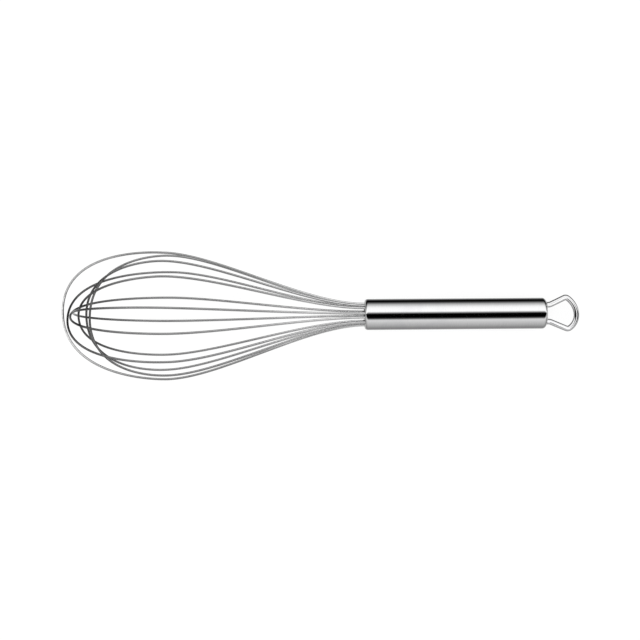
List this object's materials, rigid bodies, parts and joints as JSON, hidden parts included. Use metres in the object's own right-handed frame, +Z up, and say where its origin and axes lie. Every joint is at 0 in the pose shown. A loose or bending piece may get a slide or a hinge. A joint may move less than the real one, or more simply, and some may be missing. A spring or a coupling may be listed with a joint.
{
  "type": "balloon whisk",
  "caption": "Stainless steel balloon whisk: nested wire loops in a sealed tube handle with a fixed wire hanging loop at its rear end.",
  "frame": {"origin": "middle of the whisk's box, on the surface that the whisk lies on", "axes": "+X towards the handle's rear end and -X towards the crown of the wires, +Z up from the surface; the handle's centre line slopes down towards +X because the whisk rests on its two lowest wires and its handle's rear edge"},
  "size_m": [0.2968, 0.0744, 0.0757],
  "materials": {
    "polished_steel": "polished stainless steel",
    "loop_steel": "polished stainless steel wire",
    "spring_wire": "drawn and lightly polished stainless spring wire",
    "plain_steel": "plain punched stainless sheet",
    "sealing_resin": "cast epoxy resin"
  },
  "bodies": {
    "root": {"handle_tube": "polished_steel", "rear_cap": "polished_steel", "hanging_loop": "loop_steel", "mouth_guide_disc": "plain_steel", "mouth_seal": "sealing_resin", "wire_anchor_disc": "plain_steel", "rear_seal": "sealing_resin", "wire_loop_1": "spring_wire", "wire_loop_2": "spring_wire", "wire_loop_3": "spring_wire", "wire_loop_4": "spring_wire", "wire_loop_5": "spring_wire", "wire_loop_6": "spring_wire", "wire_loop_7": "spring_wire"}
  },
  "joints": []
}
